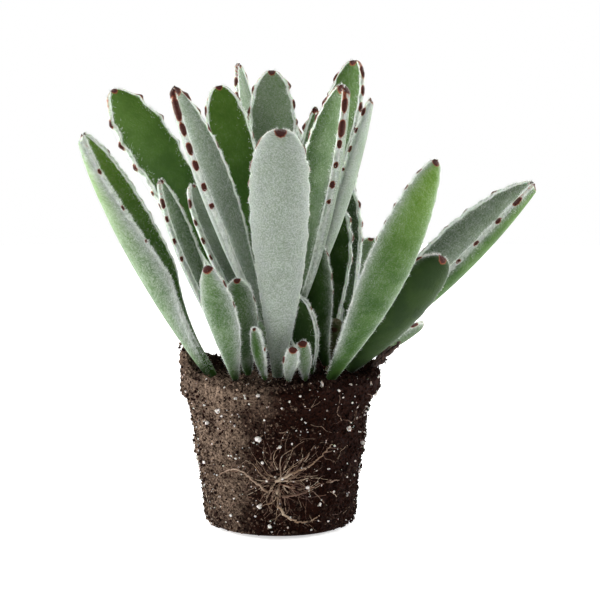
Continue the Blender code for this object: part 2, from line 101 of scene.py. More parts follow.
# How a leaf looks: upper and under are how white the felt makes each face, glow is how far its end
# is painted backlit yellow-green, tooth how far its teeth stand out in mm, spot how large its brown
# spots are.
# Twist turns its face, mostly towards the tip, in degrees, sway bends it sideways, in mm, a low end
# number draws its tip to a point, pitch is the distance from tooth to tooth and tone darkens its green
# as painted shade, for leaves that lie in shadow.
Look = namedtuple("Look", "upper under glow tooth spot twist sway end pitch tone",
                  defaults=(0.0, 0.0, END_ROUND, 5.8, 1.0))
PLAIN_LOOK = Look(0.36, 0.66, 0.15, 0.45, 0.85)
LOOKS = {
    "left_leaf_1": Look(0.12, 0.46, 0.55, 0.30, 0.6, twist=-45, end=1.65, pitch=10, tone=0.85),
    "left_leaf_2": Look(0.02, 0.55, 0.25, 1.3, 1.15, twist=-8, sway=2.2, end=1.8, pitch=8.5, tone=0.8),
    "left_leaf_3": Look(0.34, 0.55, 0.05, 0.5, 0.95, sway=0.5, end=1.8, tone=0.7),
    "left_leaf_4": Look(0.42, 0.55, 0.05, 0.3, 0.75, tone=0.7),
    "left_leaf_5": Look(0.50, 0.48, 0.05, 0.3, 1.0, sway=-0.6, end=1.8, tone=0.8),
    "left_leaf_6": Look(0.40, 0.45, 0.05, 0.2, 0.6, tone=0.75),
    "middle_leaf_1": Look(0.60, 0.92, 0.12, 0.6, 1.0),
    "middle_leaf_2": Look(0.58, 0.85, 0.10, 0.35, 1.7, end=1.8),
    "middle_leaf_3": Look(0.24, 0.42, 0.10, 0.4, 1.6, sway=-2.5, end=1.9, tone=0.75),
    "middle_leaf_4": Look(0.03, 0.60, 0.28, 0.5, 0.9, tone=0.8),
    "middle_leaf_5": Look(0.46, 0.60, 0.22, 0.9, 1.1, sway=-0.8, end=2.2),
    "middle_leaf_6": Look(0.20, 0.70, 0.18, 0.5, 1.3, end=2.2, tone=0.8),
    "middle_leaf_7": Look(0.50, 0.75, 0.10, 0.5, 0.8, end=1.7),
    "middle_leaf_8": Look(0.25, 0.50, 0.10, 0.8, 1.2, end=1.7, tone=0.8),
    "back_leaf_9": Look(0.50, 0.72, 0.10, 0.4, 1.1, end=1.8),
    "right_leaf_1": Look(0.30, 0.34, 0.60, 0.3, 0.7, sway=-0.8, end=1.8, tone=0.75),
    "right_leaf_2": Look(0.50, 0.10, 0.15, 0.35, 0.85, end=1.8, pitch=9, tone=0.75),
    "right_leaf_3": Look(0.30, -0.02, 0.03, 0.4, 0.85, tone=0.3),
    "right_leaf_4": Look(0.20, 0.25, 0.05, 0.2, 0.9, tone=0.5),
    "right_leaf_5": Look(0.22, 0.50, 0.03, 0.5, 0.8, tone=0.5),
    "right_leaf_6": Look(0.06, 0.50, 0.05, 0.8, 0.6, tone=0.5),
    "right_leaf_7": Look(0.18, 0.24, 0.05, 0.3, 0.7, sway=0.8, end=1.9, tone=0.5),
    "right_leaf_8": Look(0.05, 0.20, 0.05, 0.1, 0.4, tone=0.4),
    "pup_leaf_2": Look(0.30, 0.45, 0.10, 0.1, 0.9),
    "pup_leaf_3": Look(0.25, 0.25, 0.05, 0.1, 0.4, tone=0.7),
}

# ---- the root ball's driving numbers, the same as the CAD part's --------------------------------
BALL_BOTTOM_RADIUS = 21.5
BALL_STEP_RADIUS = 26.3
BALL_RIM_RADIUS = 29.5
STEP_HEIGHT = 38.0
RIM_HEIGHT = 46.5
CRATER_HEIGHT = 44.0
CRATER_RADIUS = 25.0
FOOT_ROUND = 2.5
WORN_RIM_RADIUS = 28.7        # where crumbs have softened the step
SPIKE_BEARING = 176           # where the broken rim stands highest
SPIKE_HEIGHT = 7.0
SHOULDER_BEARING = 20         # where the rim is worn down
SHOULDER_DROP = 0.6
FRONT_BEARING = 275           # where the rim is low at the front
FRONT_DROP = 1.8
RIPPLE_HEIGHT = 0.6           # of the waves round the rim
LIT_BEARING = 205             # the side painted pale, as if lit by the lamps on the left
PIT_PLACE = Vector((0.0, -23.0, 17.0))  # the hollow in the knot of roots
PIT_DEPTH = 2.4
PIT_RADIUS = 2.6

Stem = namedtuple("Stem", "name foot top radius")
STEMS = [
    Stem("left_stem", (-11.0, 3.0), (-11.5, 3.5, 58.5), 2.1),
    Stem("middle_stem", (0.5, 3.0), (0.5, 3.0, 69.0), 2.4),
    Stem("right_stem", (15.5, 4.0), (16.5, 5.0, 59.5), 2.2),
    Stem("back_stem", (4.0, 19.0), (4.0, 19.5, 61.0), 2.2),
]
STEM_TAPER = 0.8

Root = namedtuple("Root", "name path")
ROOTS = [
    Root("surface_root_1", [(268, 17.0), (280, 19.5), (294, 22.0), (306, 27.0)]),
    Root("surface_root_2", [(272, 12.5), (284, 13.0), (298, 15.5), (316, 16.0)]),
    Root("surface_root_3", [(262, 13.5), (252, 17.0), (240, 20.0), (226, 18.0)]),
    Root("surface_root_4", [(270, 9.5), (277, 6.0), (289, 4.5), (300, 6.0)]),
    Root("surface_root_5", [(120, 30.0), (102, 22.0), (86, 19.0), (66, 21.0)]),
    Root("surface_root_6", [(150, 12.0), (132, 9.0), (112, 12.0), (96, 9.0)]),
    Root("surface_root_7", [(20, 26.0), (36, 18.0), (52, 14.0), (70, 12.0)]),
]
GRAINS = {
    "perlite_grain_1": (257, 29.5, 2.4),
    "perlite_grain_2": (263, 3.6, 2.0),
    "perlite_grain_3": (320, 31.0, 2.0),
    "perlite_grain_4": (190, 20.0, 2.2),
    "perlite_grain_5": (78, 27.0, 2.4),
}

rng = np.random.default_rng(541)


# ---- node helpers -------------------------------------------------------------------------------
class Tree:
    """A material's node tree, with one short call for each kind of node."""

    def __init__(self, name):
        self.material = bpy.data.materials.new(name)
        self.material.use_nodes = True
        self.nodes = self.material.node_tree.nodes
        self.links = self.material.node_tree.links
        self.shader = self.nodes["Principled BSDF"]

    def put(self, value, socket):
        if isinstance(value, bpy.types.NodeSocket):
            self.links.new(value, socket)
        else:
            socket.default_value = value

    def attribute(self, name, output="Fac"):
        node = self.nodes.new("ShaderNodeAttribute")
        node.attribute_name = name
        return node.outputs[output]

    def place(self):
        return self.nodes.new("ShaderNodeTexCoord").outputs["Object"]

    def stretch(self, vector, scale):
        node = self.nodes.new("ShaderNodeMapping")
        self.put(vector, node.inputs["Vector"])
        node.inputs["Scale"].default_value = scale
        return node.outputs["Vector"]

    def noise(self, vector, scale, detail=3.0, roughness=0.55):
        node = self.nodes.new("ShaderNodeTexNoise")
        self.put(vector, node.inputs["Vector"])
        node.inputs["Scale"].default_value = scale
        node.inputs["Detail"].default_value = detail
        node.inputs["Roughness"].default_value = roughness
        return node.outputs["Fac"]

    def cells(self, vector, scale):
        node = self.nodes.new("ShaderNodeTexVoronoi")
        self.put(vector, node.inputs["Vector"])
        node.inputs["Scale"].default_value = scale
        return node.outputs["Distance"]

    def math(self, operation, first, second):
        node = self.nodes.new("ShaderNodeMath")
        node.operation = operation
        self.put(first, node.inputs[0])
        self.put(second, node.inputs[1])
        return node.outputs["Value"]

    def span(self, value, low, high, to_low=0.0, to_high=1.0):
        node = self.nodes.new("ShaderNodeMapRange")
        node.interpolation_type = "SMOOTHSTEP"
        self.put(value, node.inputs["Value"])
        for name, amount in zip(("From Min", "From Max", "To Min", "To Max"),
                                (low, high, to_low, to_high)):
            self.put(amount, node.inputs[name])
        return node.outputs["Result"]

    def mix(self, share, first, second, blend_type="MIX"):
        node = self.nodes.new("ShaderNodeMix")
        node.data_type = "RGBA"
        node.blend_type = blend_type
        self.put(share, node.inputs["Factor"])
        for value, socket in ((first, node.inputs[6]), (second, node.inputs[7])):
            if isinstance(value, tuple):
                value = (*value, 1.0)
            self.put(value, socket)
        return node.outputs[2]

    def bump(self, height, distance, strength):
        node = self.nodes.new("ShaderNodeBump")
        self.put(height, node.inputs["Height"])
        node.inputs["Distance"].default_value = distance
        node.inputs["Strength"].default_value = strength
        return node.outputs["Normal"]

    def surface(self, **values):
        for name, value in values.items():
            self.put(value, self.shader.inputs[name.replace("_", " ")])
        return self.material


# ---- materials ----------------------------------------------------------------------------------
def leaf_material():
    """Green flesh under felt: white at the margins and the underside, worn thin on the upper face.
    Painted light on top: backlit yellow-green at the ends, rim light along the margins, and painted
    shade on shaded leaves and down the middle of the undersides.
    """
    t = Tree("leaf_felt")
    flat = t.attribute("leaf_place", "Vector")
    streak = t.noise(t.stretch(flat, (1.0, 0.45, 1.0)), 1.5, 3.0, 0.7)
    fleck = t.noise(t.stretch(flat, (1.0, 0.8, 1.0)), 3.1, 2.0, 0.75)
    cloud = t.noise(flat, 0.14, 3.0)
    brow = t.attribute("brow")
    felt = t.attribute("felt")
    glow = t.attribute("glow")
    spot = t.attribute("spot")

    deep = t.mix(t.span(cloud, 0.35, 0.65), (0.034, 0.096, 0.010), (0.056, 0.134, 0.015))
    # painted light: the yellow-green of backlight shining through the leaf, laid over its end
    backlit_green = t.mix(t.span(streak, 0.3, 0.7), (0.17, 0.34, 0.03), (0.25, 0.43, 0.05))
    flesh = t.mix(glow, deep, backlit_green)
    # painted shade: tone darkens the green flesh of leaves that lie in shadow
    flesh = t.mix(1.0, flesh, t.attribute("tone"), "MULTIPLY")
    wool = t.mix(t.span(fleck, 0.3, 0.7), (0.24, 0.275, 0.235), (0.42, 0.46, 0.42))
    patchy = t.math("ADD", t.span(streak, 0.3, 0.7, -0.06, 0.06), t.span(fleck, 0.3, 0.7, -0.11, 0.11))
    patchy = t.math("ADD", patchy, t.span(cloud, 0.3, 0.7, -0.05, 0.05))
    cover = t.math("ADD", felt, patchy)
    # the white margin line: partly longer felt, partly painted rim light
    rim = t.span(t.math("ADD", brow, t.span(streak, 0.25, 0.75, -0.2, 0.2)), 0.15, 0.95)
    skin = t.mix(t.span(cover, 0.02, 0.95), flesh, wool)
    skin = t.mix(t.math("MULTIPLY", rim, 0.9), skin, (0.84, 0.88, 0.84))

    ragged = t.math("ADD", spot, t.span(streak, 0.2, 0.8, -0.2, 0.2))
    halo = t.span(ragged, 0.2, 0.5)
    heart = t.span(ragged, 0.42, 0.7)
    skin = t.mix(halo, skin, (0.26, 0.062, 0.026))
    skin = t.mix(heart, skin, (0.048, 0.008, 0.005))

    height = t.math("ADD", streak, t.math("MULTIPLY", fleck, 0.8))
    relief = t.bump(height, 0.00016, 0.7)
    return t.surface(
        Base_Color=skin,
        Roughness=0.82,
        Specular_IOR_Level=0.2,
        Sheen_Weight=t.span(cover, 0.0, 0.8, 0.2, 0.9),
        Sheen_Roughness=0.35,
        Sheen_Tint=(0.92, 1.0, 0.92, 1.0),
        Subsurface_Weight=0.2,
        Subsurface_Radius=(0.7, 1.5, 0.3),
        Subsurface_Scale=0.0012,
        Normal=relief,
    )


def hair_material():
    """White at the margins, and nearer the colour of the face beneath elsewhere."""
    t = Tree("leaf_hair")
    tone = t.noise(t.place(), 900.0, 1.0)
    white = t.mix(t.span(tone, 0.3, 0.7), (0.70, 0.74, 0.70), (0.95, 0.97, 0.95))
    colour = t.mix(t.attribute("pale"), (0.30, 0.36, 0.28), white)
    return t.surface(
        Base_Color=colour,
        Roughness=0.6,
        Specular_IOR_Level=0.4,
        Sheen_Weight=0.3,
    )


def compost_material():
    """Dark peat, reddish black, painted pale grey-brown on the side lit from the left, with random pale
    patches.
    """
    t = Tree("compost_crumb")
    where = t.place()
    crumb = t.cells(where, 900.0)
    grit = t.noise(where, 1500.0, 4.0, 0.7)
    patch = t.noise(where, 90.0, 4.0, 0.6)
    # painted light: the side lit from the left is painted pale grey-brown, the far side dark peat, with
    # random pale patches
    dry = t.attribute("dry")
    dark_peat = t.mix(t.span(grit, 0.35, 0.7), (0.003, 0.0008, 0.0005), (0.024, 0.0072, 0.004))
    pale = t.mix(t.span(grit, 0.35, 0.7), (0.045, 0.028, 0.020), (0.30, 0.215, 0.155))
    cover = t.math("ADD", dry, t.span(patch, 0.3, 0.7, -0.2, 0.2))
    soil = t.mix(t.span(cover, 0.1, 0.8), dark_peat, pale)
    relief = t.bump(t.math("ADD", crumb, grit), 0.0004, 0.8)
    return t.surface(
        Base_Color=soil,
        Roughness=t.span(grit, 0.3, 0.7, 0.75, 0.98),
        Specular_IOR_Level=0.05,
        Normal=relief,
    )


def perlite_material():
    t = Tree("perlite_grain")
    where = t.place()
    pits = t.cells(where, 1400.0)
    grime = t.noise(where, 700.0, 3.0)
    colour = t.mix(t.span(grime, 0.42, 0.72), (0.66, 0.64, 0.60), (0.20, 0.14, 0.10))
    return t.surface(
        Base_Color=colour,
        Roughness=0.85,
        Subsurface_Weight=0.1,
        Subsurface_Scale=0.0006,
        Normal=t.bump(pits, 0.0003, 0.7),
    )


def root_material():
    t = Tree("root_skin")
    where = t.place()
    stain = t.noise(where, 220.0, 3.0)
    grain = t.noise(where, 1500.0, 3.0)
    dark = t.mix(t.span(stain, 0.35, 0.65), (0.045, 0.013, 0.007), (0.13, 0.058, 0.03))
    light = t.mix(t.span(stain, 0.35, 0.65), (0.26, 0.16, 0.09), (0.52, 0.42, 0.31))
    colour = t.mix(t.attribute("pale"), dark, light)
    colour = t.mix(t.span(grain, 0.6, 0.85, 0.0, 0.7), colour, (0.42, 0.33, 0.23))
    return t.surface(
        Base_Color=colour,
        Roughness=0.7,
        Normal=t.bump(grain, 0.0001, 0.6),
    )


def stem_material():
    """Olive skin, painted dark as the shade it stands in among the leaves, under thin felt, brown at
    the scars of fallen leaves.
    """
    t = Tree("stem_skin")
    where = t.place()
    wool = t.noise(t.stretch(where, (1.0, 1.0, 0.6)), 1300.0, 3.0, 0.7)
    stain = t.noise(where, 260.0, 3.0)
    # painted shade: the olive skin is dark, as the shade the stems stand in among the leaves
    colour = t.mix(t.span(stain, 0.35, 0.65), (0.045, 0.060, 0.018), (0.085, 0.070, 0.035))
    colour = t.mix(t.span(wool, 0.45, 0.75, 0.0, 0.6), colour, (0.24, 0.25, 0.18))
    colour = t.mix(t.attribute("scar"), colour, (0.05, 0.022, 0.012))
    return t.surface(
        Base_Color=colour,
        Roughness=0.88,
        Specular_IOR_Level=0.15,
        Normal=t.bump(wool, 0.0002, 0.8),
    )


def bark_material():
    t = Tree("bark_skin")
    where = t.place()
    fibre = t.noise(t.stretch(where, (3.0, 1.0, 1.0)), 700.0, 4.0)
    colour = t.mix(t.span(fibre, 0.35, 0.7), (0.012, 0.006, 0.005), (0.075, 0.04, 0.027))
    return t.surface(Base_Color=colour, Roughness=0.9, Normal=t.bump(fibre, 0.0003, 0.9))


def floor_material():
    t = Tree("pale_floor")
    where = t.place()
    mottle = t.noise(where, 3.0, 2.0)
    colour = t.mix(mottle, (0.90, 0.90, 0.90), (0.93, 0.93, 0.93))
    return t.surface(
        Base_Color=colour,
        Roughness=0.9,
        Specular_IOR_Level=0.1,
        Emission_Color=(1.0, 1.0, 1.0, 1.0),
        Emission_Strength=0.55,
    )


# ---- mesh helpers -------------------------------------------------------------------------------
def add_object(name, data):
    made = bpy.data.objects.new(name, data)
    bpy.context.scene.collection.objects.link(made)
    return made


def add_mesh(name, points, faces, material, smooth=True):
    """A piece from points in mm, riding on the plant's one body."""
    mesh = bpy.data.meshes.new(name)
    mesh.from_pydata([tuple(p) for p in np.asarray(points) * MM], [], faces)
    mesh.materials.append(material)
    if smooth:
        mesh.shade_smooth()
    piece = add_object(name, mesh)
    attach(piece, BODY)
    return piece


def set_number(piece, name, values):
    layer = piece.data.attributes.new(name, "FLOAT", "POINT")
    layer.data.foreach_set("value", np.asarray(values, np.float32).ravel())


def set_vector(piece, name, values):
    layer = piece.data.attributes.new(name, "FLOAT_VECTOR", "POINT")
    layer.data.foreach_set("vector", np.asarray(values, np.float32).ravel())


def blend(start, end, share):
    return start + (end - start) * share


def smoothstep(low, high, value):
    share = np.clip((value - low) / (high - low), 0, 1)
    return share * share * (3 - 2 * share)


def polar(radius, angle, height):
    return radius * math.cos(angle), radius * math.sin(angle), height


def unit(vectors):
    return vectors / np.maximum(np.linalg.norm(vectors, axis=-1, keepdims=True), 1e-9)


def grid_faces(rows, columns, turned=False):
    """Quads over a grid whose columns close on themselves, and a cap at each end."""
    made = []
    for row in range(rows - 1):
        for column in range(columns):
            after = (column + 1) % columns
            low, high = row * columns, (row + 1) * columns
            made.append((low + column, low + after, high + after, high + column))
    made.append(tuple(reversed(range(columns))))
    made.append(tuple(range((rows - 1) * columns, rows * columns)))
    return [tuple(reversed(face)) for face in made] if turned else made


# ---- leaves -------------------------------------------------------------------------------------
LEAF_SIDES = 44
STATION_STEP = 0.55           # mm between sections
TOOTH_LENGTH = 1.5


def width_along(share, belly, end_round):
    rise = np.sin(CROSS * np.minimum(share / belly, 1.0)) ** 1.15
    past = np.clip((share - belly) / (1 - belly), 0, 1)
    end = np.maximum(0.0, 1 - past**end_round) ** (1 / end_round)
    return np.where(share < belly, STALK_WIDTH + (1 - STALK_WIDTH) * rise, end)


def thickness_along(share):
    swell = np.sin(math.pi * np.minimum(1.0, share * 0.8 + 0.12))
    return 0.45 + 0.55 * swell


def tooth_places(length, look, side, seed):
    """Distances from the base of the teeth on one margin: from the tip down, then none."""
    places = []
    at = length - look.pitch * (0.75 if side > 0 else 1.1)
    draw = np.random.default_rng(seed + (7 if side > 0 else 0))
    while at > length * 0.5:
        places.append(at + draw.uniform(-0.6, 0.6))
        at -= look.pitch * draw.uniform(0.88, 1.15)
    return places


def leaf_surface(leaf, look, seed):
    """Points of the leaf's grid in mm, with the numbers its material reads."""
    draw = np.random.default_rng(seed)
    base, tip = np.array(leaf.base), np.array(leaf.tip)
    chord = tip - base
    length = np.linalg.norm(chord)
    bearing = math.radians(leaf.face)
    facing = np.array([math.cos(bearing), math.sin(bearing), 0.0])
    up = facing - chord * facing.dot(chord) / length**2
    up /= np.linalg.norm(up)
    rows = max(24, int(length / STATION_STEP))
    share = np.sin(CROSS * np.linspace(0, 1, rows)) ** 1.1
    s = share[:, None]

    # the midline, with a slight sideways wave
    sway = draw.uniform(-0.6, 0.6)
    wave = np.sin(TURN * (s * draw.uniform(0.5, 0.9) + draw.uniform(0, 1)))
    side_dir = np.cross(chord / length, up)
    middle = base + chord * s - up * leaf.bow * 4 * s * (1 - s)
    middle = middle + side_dir * (wave * sway + look.sway) * np.sin(math.pi * s)
    along = unit(np.gradient(middle, axis=0))
    twist = math.radians(draw.uniform(-7, 7)) * (s - 0.3) + math.radians(look.twist) * (s**2 - 0.33)
    normal = unit(up * np.cos(twist) + side_dir * np.sin(twist))
    across = unit(np.cross(along, normal))
    normal = np.cross(across, along)

    # the section's outline, round each row
    turn = np.linspace(0, TURN, LEAF_SIDES, endpoint=False)[None, :]
    cosine, sine = np.cos(turn), np.sin(turn)
    half = (leaf.width * np.maximum(0.10, width_along(share, leaf.belly, look.end)) / 2)[:, None]
    end_round = np.clip((1 - s) * length / 1.6, 0, 1) ** 0.5
    thick = leaf.width * LEAF_THICKNESS * thickness_along(share)[:, None] / 2
    thick = np.minimum(thick, half * 0.8) * np.maximum(end_round, 0.15)
    v = np.sign(cosine) * np.abs(cosine) ** 0.78
    depth = np.where(sine < 0, -1.25 * np.abs(sine) ** 0.95, 0.88 * np.abs(sine) ** 0.66) * thick

    # teeth push the margin out, and brown spots sit on them
    run = s * length
    push = np.zeros((rows, LEAF_SIDES))
    spot = np.zeros((rows, LEAF_SIDES))
    bare = np.zeros((rows, LEAF_SIDES))
    margin = np.abs(v) ** 6
    # distance from the margin, measured round the section
    lip = half * (1 - np.abs(v)) + np.abs(depth) * 0.9
    low_lip = half * (1 - np.abs(v)) + np.abs(depth + 0.4) * 0.9
    for side in (1, -1):
        on_side = (v * side > 0)
        for order, at in enumerate(tooth_places(length, look, side, seed)):
            fade = max(0.0, 1 - 0.17 * order)
            tooth = np.exp(-(((run - at) / TOOTH_LENGTH) ** 2))
            behind = np.exp(-(((run - at + 2.2) / 1.6) ** 2)) * 0.25
            push += on_side * look.tooth * (tooth - behind) * (0.55 + 0.45 * fade)
            size = look.spot * (0.30 + 0.70 * fade) * draw.uniform(0.7, 1.25)
            long = size * (1.1 + 0.6 * fade)
            reach = np.sqrt(((run - at) / long) ** 2 + (low_lip / (size * 0.8)) ** 2)
            spot = np.maximum(spot, on_side * smoothstep(1.35, 0.45, reach))
            reach = np.sqrt(((run - at) / (long * 0.8)) ** 2 + (lip / (size * 0.75)) ** 2)
            spot = np.maximum(spot, on_side * smoothstep(1.35, 0.6, reach))
            bare = np.maximum(bare, on_side * np.exp(-(((run - at) / (long * 1.1)) ** 2)))
    end_size = look.spot * 1.35
    reach = np.sqrt(((run - length) / (end_size * 1.5)) ** 2 + (v * half / (end_size * 1.1)) ** 2)
    reach = reach + np.where(sine > 0.2, 0.25, 0.0)
    spot = np.maximum(spot, smoothstep(1.4, 0.6, reach))
    # the margin browns between the spots towards the tip
    blush = np.exp(-((lip / 0.9) ** 2)) * smoothstep(0.78, 1.0, s) * min(0.6, look.spot * 0.4)
    spot = np.maximum(spot, blush)

    # low lumps in the margin, so that it isn't a drawn curve
    ripple = 0.12 * np.sin(run * 1.3 + seed) + 0.08 * np.sin(run * 2.9 + 2 * seed)
    half_here = half + (push + ripple * smoothstep(0.1, 0.4, s)) * margin
    fold = math.radians(leaf.fold) * np.minimum(1.0, s * 2.5) + 1e-4
    lean = fold * v
    reach_out = half_here * np.sin(lean) / np.sin(fold)
    rise = half_here * (1 - np.cos(lean)) / np.sin(fold)
    # a raised lip runs just inside the margin on the upper face
    ridge = 0.16 * np.exp(-(((np.abs(v) - 0.86) / 0.08) ** 2)) * (sine > 0)
    depth = depth + ridge * smoothstep(0.1, 0.35, s)
    side_part = reach_out - depth * np.sin(lean)
    up_part = rise + depth * np.cos(lean)
    points = (
        middle[:, None, :]
        + across[:, None, :] * side_part[:, :, None]
        + normal[:, None, :] * up_part[:, :, None]
    )
    under = smoothstep(0.25, -0.25, sine) + 0 * s
    felt = blend(look.upper, look.under, under) - 0.25 * smoothstep(0.14, 0.0, s)
    # painted light on the underside: paler near the margins as rim light, and darker down the middle as
    # painted shade
    felt = felt + under * (0.45 * np.exp(-((lip / 2.2) ** 2)) * smoothstep(0.03, 0.2, s)
                           - 0.22 * (1 - np.abs(v) ** 1.5))
    # the white line of longer felt where the upper face meets the blunt margin, which is pale itself,
    # and painted rim light there as well
    brow = np.exp(-(((lip - 1.1) / 0.4) ** 2)) * (sine > 0)
    brow = np.maximum(brow, 0.55 * smoothstep(1.5, 0.7, lip)) * smoothstep(0.03, 0.2, s)
    around = np.cumsum(
        np.linalg.norm(np.diff(points, axis=1, prepend=points[:, :1]), axis=2), axis=1
    )
    place = np.stack([around, run + 0 * around, np.full_like(around, seed * 3.7)], axis=2)
    # painted light: the leaf's end turns the yellow-green of backlight shining through it
    glow = look.glow * smoothstep(0.35, 1.0, s) ** 1.3 + 0 * v
    return {
        "points": points, "length": length, "along": along, "half": half,
        "brow": brow, "felt": felt, "spot": spot, "bare": bare, "glow": glow, "place": place,
        "tone": np.full_like(felt, look.tone),
    }


def make_leaf(leaf, material, seed):
    look = LOOKS.get(leaf.name, PLAIN_LOOK)
    data = leaf_surface(leaf, look, seed)
    points = data["points"]
    faces = grid_faces(len(points), LEAF_SIDES, turned=True)
    piece = add_mesh(leaf.name + "_skin", points.reshape(-1, 3), faces, material)
    for name in ("brow", "felt", "spot", "glow", "tone"):
        set_number(piece, name, data[name])
    set_vector(piece, "leaf_place", data["place"].reshape(-1, 3))
    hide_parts(leaf.name)
    return data


def grid_normals(points):
    """Outward normals of a leaf's grid."""
    down = np.gradient(points, axis=0)
    round_ = np.roll(points, -1, axis=1) - np.roll(points, 1, axis=1)
    made = unit(np.cross(round_, down))
    centre = points.mean(axis=1, keepdims=True)
    outward = np.sum(made * (points - centre), axis=2).mean()
    return made if outward > 0 else -made


FACE_HAIRS = 1.6              # hairs to a square millimetre of face
EDGE_HAIRS = 48.0             # hairs to a millimetre of margin


def hairs_for(data, seed):
    """Base points, directions and lengths of a leaf's hairs, in mm."""
    draw = np.random.default_rng(seed + 1000)
    points = data["points"]
    normals = grid_normals(points)
    rows, columns = points.shape[:2]
    width = 2 * data["half"].mean()
    face_count = int(FACE_HAIRS * data["length"] * width * 2)
    edge_count = int(EDGE_HAIRS * data["length"])
    row = draw.uniform(0.02, 0.999, face_count + edge_count) * (rows - 1)
    column = draw.uniform(0, columns, face_count + edge_count)
    # edge hairs spring from the upper corner of each margin
    edge_at = np.where(draw.uniform(size=edge_count) < 0.5, 1.5, columns / 2 - 1.5)
    column[face_count:] = (edge_at + draw.normal(0, 2.2, edge_count)) % columns
    r0 = np.minimum(row.astype(int), rows - 2)
    c0 = column.astype(int) % columns
    c1 = (c0 + 1) % columns
    fr, fc = (row - r0)[:, None], (column - column.astype(int))[:, None]

    def between(grid):
        low = grid[r0, c0] * (1 - fc) + grid[r0, c1] * fc
        high = grid[r0 + 1, c0] * (1 - fc) + grid[r0 + 1, c1] * fc
        return low * (1 - fr) + high * fr

    root = between(points)
    normal = unit(between(normals))
    along = data["along"][r0]
    jitter = draw.normal(0, 1, root.shape)
    is_edge = (np.arange(len(root)) >= face_count)[:, None]
    lift = np.where(is_edge, 1.0, 0.55)
    direction = unit(normal * lift + along * 0.45 + jitter * 0.38)
    long = np.where(is_edge[:, 0], draw.uniform(0.4, 1.0, len(root)),
                    draw.uniform(0.14, 0.3, len(root)))
    lot = draw.uniform(size=len(root))
    keep = (data["spot"][r0, c0] < 0.2) | (lot < 0.15)
    keep &= ~is_edge[:, 0] | (lot > data["bare"][r0, c0] * 0.85)
    keep &= is_edge[:, 0] | (lot < data["felt"][r0, c0] * 1.2)
    return root[keep] - direction[keep] * 0.04, direction[keep], long[keep], is_edge[keep, 0]


EDGE_HAIR_RADIUS = 0.04
FACE_HAIR_RADIUS = 0.022


def make_hair(name, groups, material):
    """One mesh of hairs, each a closed spike of four faces."""
    root, direction, long, pale = (np.concatenate(part) for part in zip(*groups))
    radius = np.where(pale, EDGE_HAIR_RADIUS, FACE_HAIR_RADIUS)[:, None]
    helper = np.where(np.abs(direction[:, 2:]) < 0.9, [[0.0, 0.0, 1.0]], [[1.0, 0.0, 0.0]])
    first = unit(np.cross(direction, helper))
    second = np.cross(direction, first)
    corners = []
    for k in range(3):
        angle = TURN * k / 3
        corners.append(root + radius * (first * math.cos(angle) + second * math.sin(angle)))
    corners.append(root + direction * long[:, None])
    points = np.stack(corners, axis=1).reshape(-1, 3)
    start = np.arange(len(root)) * 4
    faces = np.concatenate([
        np.stack([start, start + 2, start + 1], 1),
        np.stack([start, start + 1, start + 3], 1),
        np.stack([start + 1, start + 2, start + 3], 1),
        np.stack([start + 2, start, start + 3], 1),
    ])
    piece = add_mesh(name, points, faces.tolist(), material, smooth=False)
    set_number(piece, "pale", np.repeat(pale, 4))


# ---- the root ball ------------------------------------------------------------------------------
def rim_lift(angle):
    """How much higher than RIM_HEIGHT the broken rim stands at this angle, in mm."""
    spike = max(0.0, math.cos(angle - math.radians(SPIKE_BEARING))) ** 14
    shoulder = max(0.0, math.cos(angle - math.radians(SHOULDER_BEARING))) ** 4
    front = max(0.0, math.cos(angle - math.radians(FRONT_BEARING))) ** 1.5
    ripple = math.sin(5 * angle + 0.6)
    return SPIKE_HEIGHT * spike - SHOULDER_DROP * shoulder - FRONT_DROP * front + RIPPLE_HEIGHT * ripple


def lit_side(angle):
    """How far a bearing is towards the side of the ball painted pale as lit from the left, from 0 to 1.
    """
    return smoothstep(-0.1, 0.95, np.cos(angle - math.radians(LIT_BEARING)))


def lumps_at(place):
    """How far the ball's large and small lumps stand in or out, in mm."""
    return noise.noise(place / 9.0) * 0.7 + noise.noise(place / 2.6) * 0.45


def side_radius(height):
    share = max(0.0, height - FOOT_ROUND) / (STEP_HEIGHT - FOOT_ROUND)
    rim = smoothstep(STEP_HEIGHT - 2.5, STEP_HEIGHT + 3.0, height)
    return blend(blend(BALL_BOTTOM_RADIUS, BALL_STEP_RADIUS, min(1.0, share)), WORN_RIM_RADIUS, rim)


def crumbs_at(place):
    """How far the crumbly surface stands in or out at a point, in mm."""
    cells = noise.voronoi(place / 1.25)[0]
    crumb = (cells[1] - cells[0]) * 0.8
    grit = noise.noise(place / 0.5) * 0.12
    return lumps_at(place) + crumb + grit - 0.25


def ball_outline():
    """(radius, height) down the outside, closely spaced."""
    rim_middle = (BALL_RIM_RADIUS + CRATER_RADIUS) / 2
    step_heights = [STEP_HEIGHT + rise for rise in (3.0, 1.2, -0.6, -2.5)]
    worn_step = [(side_radius(height), height) for height in step_heights]
    corners = [
        (0.3, CRATER_HEIGHT), (CRATER_RADIUS * 0.5, CRATER_HEIGHT),
        (CRATER_RADIUS, CRATER_HEIGHT), (rim_middle, RIM_HEIGHT),
        (BALL_RIM_RADIUS - 0.4, RIM_HEIGHT - 2.0), *worn_step, (BALL_BOTTOM_RADIUS, FOOT_ROUND),
        (BALL_BOTTOM_RADIUS - FOOT_ROUND * 0.3, FOOT_ROUND * 0.3),
        (BALL_BOTTOM_RADIUS - FOOT_ROUND, 0.0), (0.3, 0.0),
    ]
    spacing = [1.2, 1.0, 0.5, 0.4, 0.4, 0.4, 0.38, 0.38, 0.38, 0.4, 0.4, 1.2]
    points = []
    for (start, end), step in zip(zip(corners, corners[1:]), spacing):
        count = max(1, round(math.dist(start, end) / step))
        for k in range(count):
            points.append((blend(start[0], end[0], k / count), blend(start[1], end[1], k / count)))
    points.append(corners[-1])
    return points


BALL_TURNS = 380


